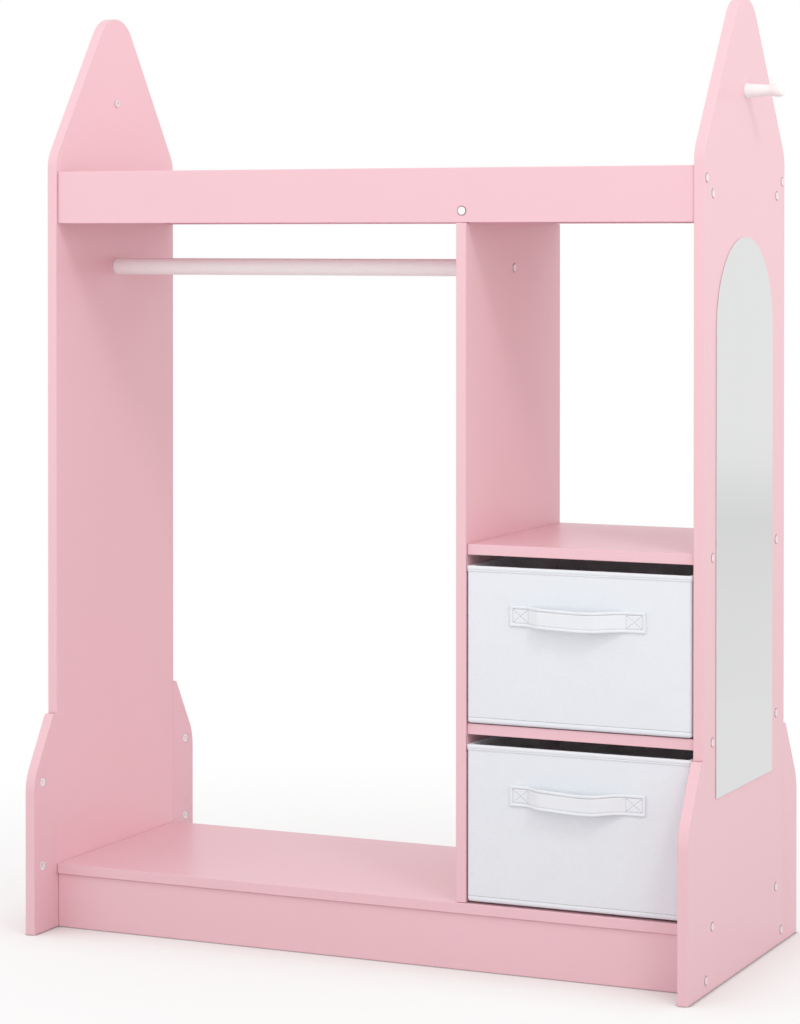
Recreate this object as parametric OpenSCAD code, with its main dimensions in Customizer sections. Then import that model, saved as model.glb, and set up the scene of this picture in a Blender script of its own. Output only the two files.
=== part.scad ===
// Dress-up storage unit: a children's hanging rail with an open cubby, two fabric bins
// and a long mirror on its right side. Millimetres, +Z up, the front faces -Y,
// origin on the floor under the middle of the unit.

/* [Overall] */
// Width over the two side panels
unit_w = 812; // [780:1:850]
// Depth of the side panels without their wings
panel_d = 290; // [280:1:310]
// Height to the tips of the side panels
unit_h = 1080; // [1060:1:1110]
// Thickness of every board
board_t = 12; // [12:0.5:13]

/* [Pointed tops of the side panels] */
// Lean of the sloping edges from the vertical, in degrees
spire_lean = 35; // [33:0.5:38]
// Radius of the rounded tip
tip_r = 46; // [36:1:56]
// Radius where a sloping edge meets the straight edge
shoulder_r = 36; // [20:1:50]

/* [Wings at the foot of the side panels] */
// How far a wing stands out from the panel
wing_w = 52; // [48:1:58]
// Height of a wing
wing_h = 252.5; // [240:0.5:270]
// Width of the flat at the top of a wing
wing_flat = 8; // [7:0.5:12]
// Lean of the wing's sloping edge from the vertical, in degrees
wing_lean = 31.7; // [29:0.1:34]
// Radius where the slope meets the upright edge
wing_r = 55; // [30:1:70]
// Radius of the top corner
wing_corner_r = 5; // [3:0.5:6]

/* [Rails, shelves and base] */
// How far the rails and kickboards sit behind the panel edges
rail_inset = 3; // [2:0.5:5]
// Height of the two top rails
rail_h = 61; // [55:0.5:66]
// Height of the underside of the rails above the floor
rail_z = 830.5; // [815:0.5:840]
// Height of the underside of the top shelf
top_shelf_z = 855.5; // [851:0.5:858]
// Clear width of the hanging bay
hanging_w = 511; // [490:1:520]
// Set-back of the cubby shelves behind the panel edges
shelf_inset = 5; // [3:0.5:8]
// Height of the kickboards
kick_h = 63; // [58:1:70]
// Clear height of each bin bay
bay_h = 187.5; // [184:0.5:195]

/* [Rod and pegs] */
// Diameter of the hanging rod
rod_dia = 20; // [18:1:25]
// Height of the rod's axis
rod_z = 779; // [760:1:790]
// Diameter of a peg where it meets the panel
peg_base_dia = 17; // [15:0.5:20]
// Diameter of a peg at its waist
peg_waist_dia = 12; // [11:0.5:14]
// Diameter of a peg's flared end
peg_end_dia = 15; // [14:0.5:18]
// Length of a peg
peg_len = 43; // [40:1:50]
// Height of the pegs
peg_z = 977; // [965:1:985]

/* [Mirror] */
// Width of the mirror
mirror_w = 200.5; // [190:0.5:210]
// Place of its middle, in front of the panel's own
mirror_y = -4.75; // [-5:0.25:5]
// Height of the mirror's lower edge
mirror_z = 205.5; // [200:0.5:230]
// Height of the top of the mirror's arch
mirror_top_z = 814.5; // [780:0.5:825]
// Thickness of the mirror sheet
mirror_t = 1; // [1:0.5:3]

/* [Fabric bins] */
// Width of a bin below its rim
bin_w = 261; // [250:0.5:261]
// Depth of a bin
bin_d = 276; // [255:1:278]
// Height of a bin
bin_h = 175.5; // [150:0.5:180]
// Set-back of a bin's front behind the panel edges
bin_inset = 1.5; // [1:0.5:6]
// Length of a handle, with the two sewn ends
handle_len = 158.5; // [150:0.5:170]
// Width of the handle strap
handle_h = 24; // [20:1:28]
// How far the handle bows away from the bin
handle_bow = 15; // [12:0.5:18]

/* [Fasteners] */
// Distance of the shelf and base screws from the panel edges
screw_edge = 30; // [28:1:36]
// Diameter of the white screw caps
cap_dia = 10.5; // [10:0.5:13]
// Height of the lower and the upper cam lock of each wing
cam_heights = [78, 176];
// Distance of a cam lock from the wing joint
cam_reach = 32; // [31:0.5:36]
// Diameter of a cam lock
cam_dia = 12; // [11:0.5:13]

/* [Hidden] */
$fn = 64;
half_w = unit_w / 2;
half_d = panel_d / 2;
inner_w = unit_w - 2 * board_t;
EPS = 0.01;

// Heights of the boards' undersides
base_z = kick_h;
middle_shelf_z = base_z + board_t + bay_h;
upper_shelf_z = middle_shelf_z + board_t + bay_h;
rail_top_z = rail_z + rail_h;

// The divider stands between the hanging bay and the bin bays
divider_x = -half_w + board_t + hanging_w;
divider_mid_x = divider_x + board_t / 2;
bay_x = divider_x + board_t;
bay_w = half_w - board_t - bay_x;
rail_y = half_d - rail_inset - board_t / 2;
top_shelf_half_d = half_d - rail_inset - board_t;

// Tapped heights of the single screws at the ends of rails and kickboards
rail_screw_z = rail_top_z - 13.5;
kick_screw_z = 15;
rail_divider_screw_z = rail_z + 13;
shelf_screw_y = half_d - screw_edge;
top_screw_y = 60;

// Screws, caps, cams, bolts and dowels
screw_head_r = 4.5;
screw_head_h = 3;
screw_r = 2.5;
screw_clear_r = 2.7;
screw_len = 38;
socket_r = 2;
socket_depth = 2;
cap_edge_h = 0.3;
cap_dome_h = 0.4;
cap_stem_r = 1.6;
cap_stem_len = 1.5;
peg_screw_r = 2;
peg_screw_clear_r = 2.2;
peg_screw_len = 30;
peg_screw_head_r = 4.5;
peg_screw_head_h = 1.8;
cam_depth = 9.5;
cam_slot_w = 1.6;
cam_slot_depth = 1.2;
bolt_r = 3;
bolt_clear_r = 3.6;
bolt_bite = 10;
dowel_r = 4;
dowel_len = 30;
dowel_z = 127;
tape_t = 0.5;
tape_w = 25;
tape_inset = 22;

// Layers of a bin, from the outside in
fabric_t = 1;
card_t = 2;
lining_t = 0.8;
wall_t = fabric_t + card_t + lining_t;
bin_corner_r = 3.5;
card_end_gap = 6;
binding_t = 1.2;
binding_h = 6;
base_card_t = 3;
base_card_gap = 1;
bin_lift = 0.4;
// A bin stands loose in its bay, a little nearer to the divider
bin_shift = -0.5;
handle_t = 2;
handle_patch = 25;
handle_drop = 52.5;
handle_steps = 28;
bin_x = bay_x + bay_w / 2 + bin_shift;
bin_front_y = -half_d + bin_inset;
upper_bin_z = middle_shelf_z + board_t + bin_lift;
lower_bin_z = base_z + board_t + bin_lift;

// Colours
PINK = "#f4c6cf";
WHITE = "#f4f4f2";
LINEN = "#eceef2";
LINING_GREY = "#e5e7e9";
CARD = "#a58a68";
ZINC = "#b9bcc0";
BEECH = "#d9b98c";
GLASS = "#dfe2e4";
TAPE = "#e8e8e4";

// A screw is [point on the board's face, rotation that turns +Z to the outward normal].
OUT_RIGHT = [0, 90, 0];
OUT_LEFT = [0, -90, 0];
OUT_FRONT = [90, 0, 0];
OUT_REAR = [-90, 0, 0];
OUT_UP = [0, 0, 0];
OUT_DOWN = [180, 0, 0];

// Front and rear point of one board end, at half depth y and height z
function pair(y, z) = [[-y, z], [y, z]];

// Screw points on a side panel, as [y, z]
function shared_points() = concat(
    pair(rail_y, rail_screw_z),
    pair(shelf_screw_y, top_shelf_z + board_t / 2),
    pair(shelf_screw_y, base_z + board_t / 2),
    pair(rail_y, kick_screw_z)
);
function shelf_points() = concat(
    pair(shelf_screw_y, middle_shelf_z + board_t / 2),
    pair(shelf_screw_y, upper_shelf_z + board_t / 2)
);

right_screws = [for (p = concat(shared_points(), shelf_points())) [[half_w, p[0], p[1]], OUT_RIGHT]];
left_screws = [for (p = concat(shared_points(), [[0, rod_z]])) [[-half_w, p[0], p[1]], OUT_LEFT]];
divider_shelf_screws = [for (p = shelf_points()) [[divider_x, p[0], p[1]], OUT_LEFT]];
divider_rod_screws = [[[bay_x, 0, rod_z], OUT_RIGHT]];
front_rail_screws = [[[divider_mid_x, -half_d + rail_inset, rail_divider_screw_z], OUT_FRONT]];
rear_rail_screws = [[[divider_mid_x, half_d - rail_inset, rail_divider_screw_z], OUT_REAR]];
top_screws = [for (y = [-top_screw_y, top_screw_y]) [[divider_mid_x, y, top_shelf_z + board_t], OUT_UP]];
base_screws = [for (y = [-top_screw_y, top_screw_y]) [[divider_mid_x, y, base_z], OUT_DOWN]];
// The screws into the divider's two ends have no caps, so that the tray stays flat
capped_screws = concat(right_screws, left_screws, divider_shelf_screws, divider_rod_screws,
    front_rail_screws, rear_rail_screws);
all_screws = concat(capped_screws, top_screws, base_screws);

// The screws of a list whose height is within half a board of z
function at_height(list, z) = [for (s = list) if (abs(s[0][2] - z) < board_t / 2 + EPS) s];
// The screws of a list on the front (side -1) or rear (side 1) half
function on_side(list, side) = [for (s = list) if (s[0][1] * side > 0) s];

module place(screw) {
    translate(screw[0]) rotate(screw[1]) children();
}

// Hole through the board that the head sits in
module head_holes(list) {
    for (s = list) place(s) {
        translate([0, 0, -board_t - 1]) cylinder(h = board_t + 2, r = screw_clear_r);
        translate([0, 0, -screw_head_h]) cylinder(h = screw_head_h + 1, r = screw_head_r);
    }
}

// Hole that the screw cuts its thread in
module thread_holes(list) {
    for (s = list) place(s)
        translate([0, 0, -screw_len]) cylinder(h = screw_len - board_t + 1, r = screw_r);
}

module screw() {
    difference() {
        union() {
            translate([0, 0, -screw_head_h]) cylinder(h = screw_head_h, r = screw_head_r);
            translate([0, 0, -screw_len]) cylinder(h = screw_len - screw_head_h, r = screw_r);
        }
        translate([0, 0, -socket_depth]) cylinder(h = socket_depth + 1, r = socket_r, $fn = 6);
    }
}

// A low disc with a sloping rim, plugged into the screw's socket
module screw_cap() {
    cylinder(h = cap_edge_h, d = cap_dia);
    translate([0, 0, cap_edge_h]) cylinder(h = cap_dome_h, d1 = cap_dia, d2 = 0.7 * cap_dia);
    translate([0, 0, -cap_stem_len]) cylinder(h = cap_stem_len + EPS, r = cap_stem_r);
}

// Turns an outline drawn in depth and height into a board that is t thick along X
module upright(t) {
    rotate([90, 0, 90]) linear_extrude(t) children();
}

// Straight edges, sloping edges and a rounded tip
module side_outline() {
    corner_z = unit_h + tip_r * (1 / sin(spire_lean) - 1) - half_d / tan(spire_lean);
    arc_z = corner_z - shoulder_r * tan(spire_lean / 2);
    out = [cos(spire_lean), sin(spire_lean)];
    tip = [0, unit_h - tip_r];
    shoulder = [half_d - shoulder_r, arc_z];
    slope_low = shoulder + shoulder_r * out;
    slope_high = tip + tip_r * out;
    polygon([
        [-half_d, 0], [half_d, 0], [half_d, arc_z], slope_low, slope_high,
        [-slope_high[0], slope_high[1]], [-slope_low[0], slope_low[1]], [-half_d, arc_z],
    ]);
    translate(tip) circle(r = tip_r);
    for (side = [-1, 1]) translate([side * shoulder[0], shoulder[1]]) circle(r = shoulder_r);
}

// A wing drawn from its joint outwards
module wing_outline() {
    slope_z = wing_h - (wing_w - wing_flat) / tan(wing_lean);
    arc_z = slope_z - wing_r * tan(wing_lean / 2);
    corner_cut = wing_corner_r * tan((90 - wing_lean) / 2);
    out = [cos(wing_lean), sin(wing_lean)];
    low = [wing_w - wing_r, arc_z];
    corner = [wing_flat - corner_cut, wing_h - wing_corner_r];
    polygon([
        [0, 0], [wing_w, 0], [wing_w, arc_z], low + wing_r * out,
        corner + wing_corner_r * out, [corner[0], wing_h], [0, wing_h],
    ]);
    intersection() {
        translate(low) circle(r = wing_r);
        translate([0, arc_z - 1]) square([wing_w + 1, wing_h]);
    }
    translate(corner) circle(r = wing_corner_r);
}

// Bolt, dowel and cam positions of one wing; side is -1 left or 1 right, end is -1 front or 1 rear
function joint_point(side, end, z) = [side * (half_w - board_t / 2), end * half_d, z];

// Runs along Y across a wing joint, from bite inside the panel to reach inside the wing
module across_joint(side, end, z, bite, reach, r) {
    translate(joint_point(side, end, z))
        rotate([end * -90, 0, 0])
            translate([0, 0, -bite]) cylinder(h = bite + reach, r = r);
}

module side_panel(side, screws) {
    difference() {
        translate([side > 0 ? half_w - board_t : -half_w, 0, 0]) upright(board_t) side_outline();
        head_holes(screws);
        translate([side * half_w, 0, peg_z]) rotate([0, 90, 0])
            cylinder(h = 3 * board_t, r = peg_screw_clear_r, center = true);
        for (end = [-1, 1]) {
            for (z = cam_heights) across_joint(side, end, z, bolt_bite, 1, bolt_r);
            across_joint(side, end, dowel_z, dowel_len / 2, 1, dowel_r);
        }
    }
}

module left_side_panel() color(PINK) side_panel(-1, left_screws);
module right_side_panel() color(PINK) side_panel(1, right_screws);

// Cam seats open on the face that looks into the unit
module cam_seat(side, end, z) {
    translate([side * (half_w - board_t), end * (half_d + cam_reach), z])
        rotate([0, side * 90, 0]) children();
}

module wing(side, end) {
    difference() {
        translate([side > 0 ? half_w - board_t : -half_w, end * half_d, 0])
            towards_end(end) upright(board_t) wing_outline();
        for (z = cam_heights) {
            across_joint(side, end, z, 1, cam_reach, bolt_clear_r);
            cam_seat(side, end, z)
                translate([0, 0, -1]) cylinder(h = cam_depth + 1, r = cam_dia / 2);
        }
        across_joint(side, end, dowel_z, 1, dowel_len / 2, dowel_r);
    }
}

// Turns a wing drawn towards +Y round to the front
module towards_end(end) {
    if (end > 0) children();
    else mirror([0, 1, 0]) children();
}

module left_front_wing() color(PINK) wing(-1, -1);
module left_rear_wing() color(PINK) wing(-1, 1);
module right_front_wing() color(PINK) wing(1, -1);
module right_rear_wing() color(PINK) wing(1, 1);

// A board between the side panels: y0 to y1 deep, z0 high, h tall
module cross_board(y0, y1, z0, h) {
    translate([-inner_w / 2, y0, z0]) cube([inner_w, y1 - y0, h]);
}

module top_rail(end, rail_screws) {
    difference() {
        cross_board(end * rail_y - board_t / 2, end * rail_y + board_t / 2, rail_z, rail_h);
        thread_holes(on_side(at_height(concat(left_screws, right_screws), rail_screw_z), end));
        head_holes(rail_screws);
    }
}

module front_top_rail() color(PINK) top_rail(-1, front_rail_screws);
module rear_top_rail() color(PINK) top_rail(1, rear_rail_screws);

module top_shelf() color(PINK) difference() {
    cross_board(-top_shelf_half_d, top_shelf_half_d, top_shelf_z, board_t);
    thread_holes(at_height(concat(left_screws, right_screws), top_shelf_z + board_t / 2));
    head_holes(top_screws);
}

module divider() color(PINK) difference() {
    translate([divider_x, -half_d + 1, base_z + board_t])
        cube([board_t, panel_d - 1, top_shelf_z - base_z - board_t]);
    for (end = [-1, 1])
        translate([divider_mid_x - board_t, end * rail_y - (end < 0 ? board_t * 1.5 : board_t / 2), rail_z])
            cube([2 * board_t, 2 * board_t, rail_h]);
    head_holes(concat(divider_shelf_screws, divider_rod_screws));
    thread_holes(concat(front_rail_screws, rear_rail_screws, top_screws, base_screws));
}

// A shelf in the right-hand bay
module bay_shelf(z) {
    difference() {
        translate([bay_x, -half_d + shelf_inset, z]) cube([bay_w, panel_d - shelf_inset, board_t]);
        thread_holes(at_height(concat(divider_shelf_screws, right_screws), z + board_t / 2));
    }
}

module upper_shelf() color(PINK) bay_shelf(upper_shelf_z);
module middle_shelf() color(PINK) bay_shelf(middle_shelf_z);

module base_board() color(PINK) difference() {
    cross_board(-half_d, half_d, base_z, board_t);
    thread_holes(at_height(concat(left_screws, right_screws), base_z + board_t / 2));
    head_holes(base_screws);
}

module kickboard(end) {
    difference() {
        cross_board(end * rail_y - board_t / 2, end * rail_y + board_t / 2, 0, kick_h);
        thread_holes(on_side(at_height(concat(left_screws, right_screws), kick_screw_z), end));
    }
}

module front_kickboard() color(PINK) kickboard(-1);
module rear_kickboard() color(PINK) kickboard(1);

module hanging_rod() color(WHITE) difference() {
    translate([-half_w + board_t, 0, rod_z]) rotate([0, 90, 0])
        cylinder(h = hanging_w, d = rod_dia);
    thread_holes(at_height(concat(left_screws, divider_rod_screws), rod_z));
}

// Tapers to a waist, flares out again and ends in a rounded rim
module peg() {
    waist_at = 0.62 * peg_len;
    flare_at = 0.78 * peg_len;
    rim_r = 3;
    difference() {
        union() {
            cylinder(h = waist_at, d1 = peg_base_dia, d2 = peg_waist_dia);
            translate([0, 0, waist_at])
                cylinder(h = flare_at - waist_at, d1 = peg_waist_dia, d2 = peg_end_dia);
            translate([0, 0, flare_at])
                cylinder(h = peg_len - rim_r - flare_at, d = peg_end_dia);
            translate([0, 0, peg_len - rim_r])
                cylinder(h = rim_r, d1 = peg_end_dia, d2 = peg_end_dia - 2 * rim_r);
        }
        translate([0, 0, -1]) cylinder(h = peg_screw_len - board_t + 1, r = peg_screw_r);
    }
}

module left_peg() color(WHITE) translate([-half_w, 0, peg_z]) rotate([0, -90, 0]) peg();
module right_peg() color(WHITE) translate([half_w, 0, peg_z]) rotate([0, 90, 0]) peg();

// A rectangle with a half-round top
module mirror_outline() {
    arch_r = mirror_w / 2;
    translate([-arch_r, mirror_z]) square([mirror_w, mirror_top_z - arch_r - mirror_z]);
    intersection() {
        translate([0, mirror_top_z - arch_r]) circle(r = arch_r);
        translate([-mirror_w, mirror_top_z - arch_r - 1]) square([2 * mirror_w, mirror_w]);
    }
}

module mirror_sheet() color(GLASS)
    translate([half_w + tape_t, mirror_y, 0]) upright(mirror_t) mirror_outline();

module mirror_tape() color(TAPE)
    for (side = [-1, 1])
        translate([half_w, mirror_y + side * (mirror_w / 2 - tape_inset - tape_w / 2) - tape_w / 2, mirror_z + tape_inset])
            cube([tape_t, tape_w, mirror_top_z - mirror_w / 2 - mirror_z - 2 * tape_inset]);

module board_screws() color(ZINC) for (s = all_screws) place(s) screw();
module screw_caps() color(WHITE) for (s = capped_screws) place(s) screw_cap();

module peg_screws() color(WHITE)
    for (side = [-1, 1])
        translate([side * (half_w - board_t), 0, peg_z]) rotate([0, side * 90, 0]) difference() {
            union() {
                translate([0, 0, -peg_screw_head_h]) cylinder(h = peg_screw_head_h, r = peg_screw_head_r);
                cylinder(h = peg_screw_len, r = peg_screw_r);
            }
            for (turn = [0, 90]) rotate([0, 0, turn])
                translate([-3, -0.6, -peg_screw_head_h - 1]) cube([6, 1.2, 2]);
        }

module cam_locks() color(WHITE)
    for (side = [-1, 1], end = [-1, 1], z = cam_heights) difference() {
        cam_seat(side, end, z) difference() {
            cylinder(h = cam_depth, r = cam_dia / 2);
            for (turn = [45, 135]) rotate([0, 0, turn])
                translate([-cam_dia / 3, -cam_slot_w / 2, -1])
                    cube([cam_dia / 1.5, cam_slot_w, cam_slot_depth + 1]);
        }
        across_joint(side, end, z, 0, cam_reach + 1, bolt_clear_r);
    }

module cam_bolts() color(ZINC)
    for (side = [-1, 1], end = [-1, 1], z = cam_heights)
        across_joint(side, end, z, bolt_bite, cam_reach, bolt_r);

module wing_dowels() color(BEECH)
    for (side = [-1, 1], end = [-1, 1])
        across_joint(side, end, dowel_z, dowel_len / 2, dowel_len / 2, dowel_r);

// Footprint of a bin, drawn in by inset all round
module bin_plan(inset) {
    w = bin_w - 2 * inset;
    d = bin_d - 2 * inset;
    r = max(bin_corner_r - inset, 1);
    translate([-w / 2 + r, -d / 2]) square([w - 2 * r, d]);
    translate([-w / 2, -d / 2 + r]) square([w, d - 2 * r]);
    for (x = [-1, 1], y = [-1, 1])
        translate([x * (w / 2 - r), y * (d / 2 - r)]) circle(r = r);
}

// Puts a bin's own frame (middle of its floor) at its place in the bay
module in_bay(z) {
    translate([bin_x, bin_front_y + bin_d / 2, z]) children();
}

// An open box between two insets of the footprint
module bin_shell(outer, inner, floor_z, floor_t, top_z) {
    difference() {
        translate([0, 0, floor_z]) linear_extrude(top_z - floor_z) bin_plan(outer);
        translate([0, 0, floor_z + floor_t]) linear_extrude(top_z) bin_plan(inner);
    }
}

module bin_cover() color(LINEN) bin_shell(0, fabric_t, 0, fabric_t, bin_h - binding_t);

module bin_lining() color(LINING_GREY)
    bin_shell(fabric_t + card_t, wall_t, fabric_t, lining_t, bin_h - binding_t);

// Four stiff cards sewn in between cover and lining, one in each wall
module bin_card_walls() color(CARD) {
    long = bin_w - 2 * card_end_gap;
    deep = bin_d - 2 * card_end_gap;
    tall = bin_h - binding_t - fabric_t;
    for (side = [-1, 1]) {
        translate([-long / 2, side * (bin_d / 2 - fabric_t - card_t / 2) - card_t / 2, fabric_t])
            cube([long, card_t, tall]);
        translate([side * (bin_w / 2 - fabric_t - card_t / 2) - card_t / 2, -deep / 2, fabric_t])
            cube([card_t, deep, tall]);
    }
}

// Loose card that stiffens the floor
module bin_base_card() color(LINING_GREY)
    translate([0, 0, fabric_t + lining_t]) linear_extrude(base_card_t) bin_plan(wall_t + base_card_gap);

// Folded tape over the rim: an outer leg, an inner leg and the fold on top
module bin_binding() color(LINEN) difference() {
    translate([0, 0, bin_h - binding_h]) linear_extrude(binding_h) bin_plan(-binding_t);
    translate([0, 0, bin_h - binding_h - 1]) linear_extrude(binding_h + 2) bin_plan(wall_t + lining_t);
    translate([0, 0, bin_h - binding_h - 1]) difference() {
        linear_extrude(binding_h + 1 - binding_t) bin_plan(0);
        translate([0, 0, -1]) linear_extrude(binding_h + 3) bin_plan(wall_t);
    }
}

// Distance of the strap from the bin, x from the strap's middle
function bow_at(x) =
    let (reach = handle_len / 2 - handle_patch)
    abs(x) >= reach ? 0 : handle_bow * (1 - pow(abs(x) / reach, 4));

module bin_handle() color(LINEN) {
    xs = [for (i = [0 : handle_steps]) -handle_len / 2 + i * handle_len / handle_steps];
    back = [for (x = xs) [x, -bow_at(x)]];
    front = [for (i = [handle_steps : -1 : 0]) [xs[i], -bow_at(xs[i]) - handle_t]];
    translate([0, -bin_d / 2, bin_h - handle_drop - handle_h / 2])
        linear_extrude(handle_h) polygon(concat(back, front));
}

module upper_bin_cover() in_bay(upper_bin_z) bin_cover();
module upper_bin_card_walls() in_bay(upper_bin_z) bin_card_walls();
module upper_bin_lining() in_bay(upper_bin_z) bin_lining();
module upper_bin_base_card() in_bay(upper_bin_z) bin_base_card();
module upper_bin_binding() in_bay(upper_bin_z) bin_binding();
module upper_bin_handle() in_bay(upper_bin_z) bin_handle();
module lower_bin_cover() in_bay(lower_bin_z) bin_cover();
module lower_bin_card_walls() in_bay(lower_bin_z) bin_card_walls();
module lower_bin_lining() in_bay(lower_bin_z) bin_lining();
module lower_bin_base_card() in_bay(lower_bin_z) bin_base_card();
module lower_bin_binding() in_bay(lower_bin_z) bin_binding();
module lower_bin_handle() in_bay(lower_bin_z) bin_handle();

left_side_panel();
right_side_panel();
left_front_wing();
left_rear_wing();
right_front_wing();
right_rear_wing();
front_top_rail();
rear_top_rail();
top_shelf();
divider();
upper_shelf();
middle_shelf();
base_board();
front_kickboard();
rear_kickboard();
hanging_rod();
left_peg();
right_peg();
mirror_sheet();  // mirror
mirror_tape();
board_screws();
screw_caps();
peg_screws();
cam_locks();
cam_bolts();
wing_dowels();
upper_bin_cover();
upper_bin_card_walls();
upper_bin_lining();
upper_bin_base_card();
upper_bin_binding();
upper_bin_handle();
lower_bin_cover();
lower_bin_card_walls();
lower_bin_lining();
lower_bin_base_card();
lower_bin_binding();
lower_bin_handle();
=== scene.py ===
# %% [markdown]
# # A child's dress-up rack, dressed for a picture
# The rack is flat-pack furniture: boards of 12 mm MDF under a satin pink lacquer, a white rod, two
# fabric bins and a mirror on its right side. The CAD model already holds every piece at its true size
# and place, and this script stays within a few millimetres of it. It softens edges, sews the cloth,
# finishes the surfaces, and lights the whole thing in a plain white studio. Everything is in
# metres, with the front of the rack towards -Y.

# %% Load the fixed frame
import math

import bmesh
import bpy
from mathutils import Matrix, Vector, noise


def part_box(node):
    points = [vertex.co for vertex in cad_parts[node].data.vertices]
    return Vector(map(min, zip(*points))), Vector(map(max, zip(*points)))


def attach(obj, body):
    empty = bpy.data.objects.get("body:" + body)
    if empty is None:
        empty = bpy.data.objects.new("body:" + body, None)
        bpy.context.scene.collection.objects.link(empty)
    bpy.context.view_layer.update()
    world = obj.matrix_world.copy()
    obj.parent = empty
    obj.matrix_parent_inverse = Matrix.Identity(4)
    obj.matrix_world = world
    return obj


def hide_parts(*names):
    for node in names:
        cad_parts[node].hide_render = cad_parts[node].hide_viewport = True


MM = 0.001
# Points closer than this lie on the same face or edge
NEAR = 0.1 * MM
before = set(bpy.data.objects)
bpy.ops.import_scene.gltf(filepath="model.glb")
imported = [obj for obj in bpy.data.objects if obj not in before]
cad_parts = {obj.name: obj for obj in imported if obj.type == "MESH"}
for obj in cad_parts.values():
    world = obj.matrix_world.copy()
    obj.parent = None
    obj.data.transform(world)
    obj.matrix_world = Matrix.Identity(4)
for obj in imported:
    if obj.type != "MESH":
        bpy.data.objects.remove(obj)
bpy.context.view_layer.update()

# %% [markdown]
# ## The camera
# The picture was taken level, from the front right, with a long lens: its upright lines stay
# parallel although the view looks down on the base. A view camera does that by sliding its lens, which
# is Blender's shift. Most of the framing comes from the shift and under one degree from a tilt,
# so that the rack also fits the frame when the camera is carried round it. The focal length and the
# place were solved from the boards' edges.

# %% Camera
PHOTO_W, PHOTO_H = 800, 1024
SENSOR_H = 36.0
# In the picture's pixels: the focal length, and the point straight ahead of the lens
FOCAL_PX = 3086.0
CENTRE_PX = (358.38, 276.0)
CAMERA_PLACE = (1.45834, -3.29331, 0.81212)
# In degrees, from a level look straight at the front
TILTED_DOWN, TURNED_LEFT = 0.686, 24.880

lens = bpy.data.cameras.new("view_camera")
lens.sensor_fit = "VERTICAL"
lens.sensor_height = SENSOR_H
lens.sensor_width = SENSOR_H * PHOTO_W / PHOTO_H
lens.lens = FOCAL_PX / PHOTO_H * SENSOR_H
lens.shift_x = (PHOTO_W / 2 - CENTRE_PX[0]) / PHOTO_H
lens.shift_y = (CENTRE_PX[1] - PHOTO_H / 2) / PHOTO_H
camera = bpy.data.objects.new("view_camera", lens)
camera.location = CAMERA_PLACE
camera.rotation_euler = (math.radians(90 - TILTED_DOWN), 0, math.radians(TURNED_LEFT))
bpy.context.scene.collection.objects.link(camera)
bpy.context.scene.camera = camera
bpy.context.scene.view_settings.view_transform = "Standard"
print(f"lens {lens.lens:.1f} mm, shift {lens.shift_x:.3f}, {lens.shift_y:.3f}")

# %% [markdown]
# ## Small helpers for finishes
# Colours are written as sRGB hex values, as a picture editor shows them, and one function turns
# them to the linear light that shaders work in. A second function adds a shader node with its
# settings and links in one call. Every finish starts from its physical numbers and ends alike, with
# two close colours mixed by a pattern and a fine relief, so two more functions start and end one.

# %% Colour, node and finish helpers
def linear(hex_colour):
    """The linear colour of an sRGB hex value."""
    parts = [int(hex_colour[i:i + 2], 16) / 255 for i in (1, 3, 5)]
    return [c / 12.92 if c <= 0.04045 else ((c + 0.055) / 1.055) ** 2.4 for c in parts] + [1.0]


def add_node(tree, kind, settings=None, inputs=None):
    """Adds a node. An input is a value, or a socket to link from."""
    node = tree.nodes.new(kind)
    for name, value in (settings or {}).items():
        setattr(node, name, value)
    for key, value in (inputs or {}).items():
        if isinstance(value, bpy.types.NodeSocket):
            tree.links.new(value, node.inputs[key])
        else:
            node.inputs[key].default_value = value
    return node


def start_finish(name, **sockets):
    """A material with its numbers on the shader, and the object coordinates for its patterns."""
    finish = bpy.data.materials.new(name)
    finish.use_nodes = True
    tree = finish.node_tree
    shader = tree.nodes["Principled BSDF"]
    for socket, value in sockets.items():
        shader.inputs[socket.replace("_", " ")].default_value = value
    place = add_node(tree, "ShaderNodeTexCoord").outputs["Object"]
    return finish, tree, shader, place


def end_finish(tree, shader, share, dark, light, height, depth, **under):
    """Mixes two colours by a share from 0 to 1, and raises the surface by a height times depth."""
    colour = add_node(tree, "ShaderNodeMix", {"data_type": "RGBA"},
                      {0: share, 6: linear(dark), 7: linear(light)})
    tree.links.new(colour.outputs[2], shader.inputs["Base Color"])
    relief = add_node(tree, "ShaderNodeBump", None, {"Height": height, "Distance": depth, **under})
    tree.links.new(relief.outputs["Normal"], shader.inputs["Normal"])


print("helpers ready")

# %% [markdown]
# ## Lacquered MDF
# The boards are MDF under a sprayed satin lacquer, pink, and the wooden rod has a white one. Sprayed
# lacquer levels out almost flat and keeps a faint orange peel, a soft ripple a few millimetres
# across, so its highlights are broad and slightly uneven. The real ripple is about 2 mm across, and
# it is drawn at 5 mm here, because a finer one would fall under a pixel.

# %% Sprayed lacquer, pink and white
CLOUD_SIZE, PEEL_SIZE = 90 * MM, 5 * MM
UNEVEN_GLOSS = 0.04


def sprayed_lacquer(name, dark, light, roughness, peel):
    finish, tree, shader, place = start_finish(name, Roughness=roughness, IOR=1.45)
    cloud = add_node(tree, "ShaderNodeTexNoise", None,
                     {"Vector": place, "Scale": 1 / CLOUD_SIZE, "Detail": 2.0, "Roughness": 0.45})
    uneven = add_node(tree, "ShaderNodeMapRange", None,
                      {"Value": cloud.outputs["Fac"], "To Min": roughness - UNEVEN_GLOSS,
                       "To Max": roughness + UNEVEN_GLOSS})
    tree.links.new(uneven.outputs["Result"], shader.inputs["Roughness"])
    ripple = add_node(tree, "ShaderNodeTexNoise", None,
                      {"Vector": place, "Scale": 1 / PEEL_SIZE, "Detail": 1.0})
    end_finish(tree, shader, cloud.outputs["Fac"], dark, light, ripple.outputs["Fac"], peel)
    return finish


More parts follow.
